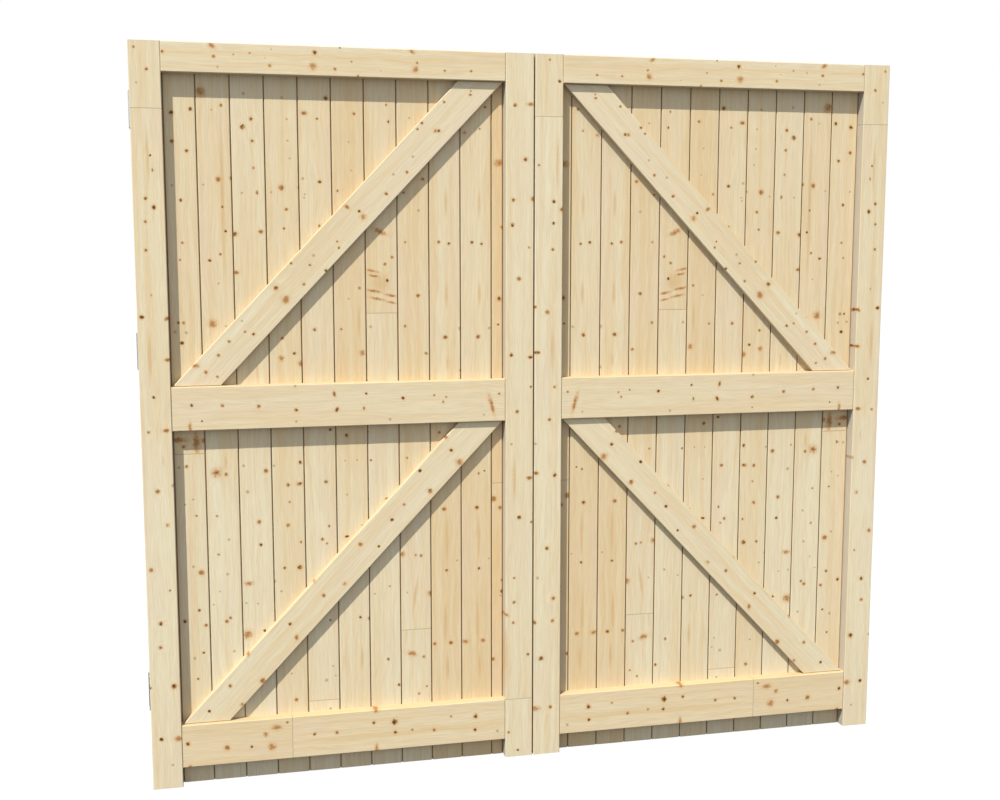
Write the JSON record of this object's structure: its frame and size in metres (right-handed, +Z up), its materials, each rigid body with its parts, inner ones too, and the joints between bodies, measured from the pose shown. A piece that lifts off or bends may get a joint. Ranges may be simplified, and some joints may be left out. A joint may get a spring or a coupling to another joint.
{
  "type": "pair of garage doors",
  "caption": "Pair of side-hung boarded timber garage doors, framed, ledged and braced, whose leaves swing outward on butt hinges.",
  "frame": {"origin": "on the floor at the meeting line of the pair, halfway through the leaves' thickness", "axes": "+X to the right along the closed pair seen from inside, +Y to the outside, +Z up"},
  "size_m": [2.2986, 0.0635, 2.134],
  "materials": {
    "pine_framing": "planed, unfinished",
    "pine_boards": "planed, unfinished",
    "pine_wedges": "sawn end grain",
    "hinge_steel": "zinc plated, satin",
    "nail_steel": "galvanised, dull"
  },
  "bodies": {
    "hinge_fixings": {"left_top_hinge_fixed_flap": "hinge_steel", "left_middle_hinge_fixed_flap": "hinge_steel", "left_bottom_hinge_fixed_flap": "hinge_steel", "left_hinge_pins": "hinge_steel", "right_top_hinge_fixed_flap": "hinge_steel", "right_middle_hinge_fixed_flap": "hinge_steel", "right_bottom_hinge_fixed_flap": "hinge_steel", "right_hinge_pins": "hinge_steel"},
    "left_leaf": {"left_hanging_stile": "pine_framing", "left_meeting_stile": "pine_framing", "left_top_rail": "pine_framing", "left_middle_rail": "pine_framing", "left_bottom_rail": "pine_framing", "left_upper_brace": "pine_framing", "left_lower_brace": "pine_framing", "left_board_1": "pine_boards", "left_board_2": "pine_boards", "left_board_3": "pine_boards", "left_board_4": "pine_boards", "left_board_5": "pine_boards", "left_board_6": "pine_boards", "left_board_7": "pine_boards", "left_board_8": "pine_boards", "left_board_9": "pine_boards", "left_board_10": "pine_boards", "left_board_11": "pine_boards", "left_top_hinge_moving_flap": "hinge_steel", "left_middle_hinge_moving_flap": "hinge_steel", "left_bottom_hinge_moving_flap": "hinge_steel", "left_hinge_screws": "hinge_steel", "left_tenon_wedges": "pine_wedges", "left_board_nails": "nail_steel"},
    "right_leaf": {"right_hanging_stile": "pine_framing", "right_meeting_stile": "pine_framing", "right_top_rail": "pine_framing", "right_middle_rail": "pine_framing", "right_bottom_rail": "pine_framing", "right_upper_brace": "pine_framing", "right_lower_brace": "pine_framing", "right_board_1": "pine_boards", "right_board_2": "pine_boards", "right_board_3": "pine_boards", "right_board_4": "pine_boards", "right_board_5": "pine_boards", "right_board_6": "pine_boards", "right_board_7": "pine_boards", "right_board_8": "pine_boards", "right_board_9": "pine_boards", "right_board_10": "pine_boards", "right_board_11": "pine_boards", "right_top_hinge_moving_flap": "hinge_steel", "right_middle_hinge_moving_flap": "hinge_steel", "right_bottom_hinge_moving_flap": "hinge_steel", "right_hinge_screws": "hinge_steel", "right_tenon_wedges": "pine_wedges", "right_board_nails": "nail_steel"}
  },
  "joints": [
    {"name": "left_leaf_swing", "type": "hinge", "parent": "hinge_fixings", "child": "left_leaf", "pos_m": [-1.1428, 0.032, 1.067], "axis": [0, 0, 1], "range_deg": [0, 180]},
    {"name": "right_leaf_swing", "type": "hinge", "parent": "hinge_fixings", "child": "right_leaf", "pos_m": [1.1428, 0.032, 1.067], "axis": [0, 0, -1], "range_deg": [0, 180]}
  ]
}
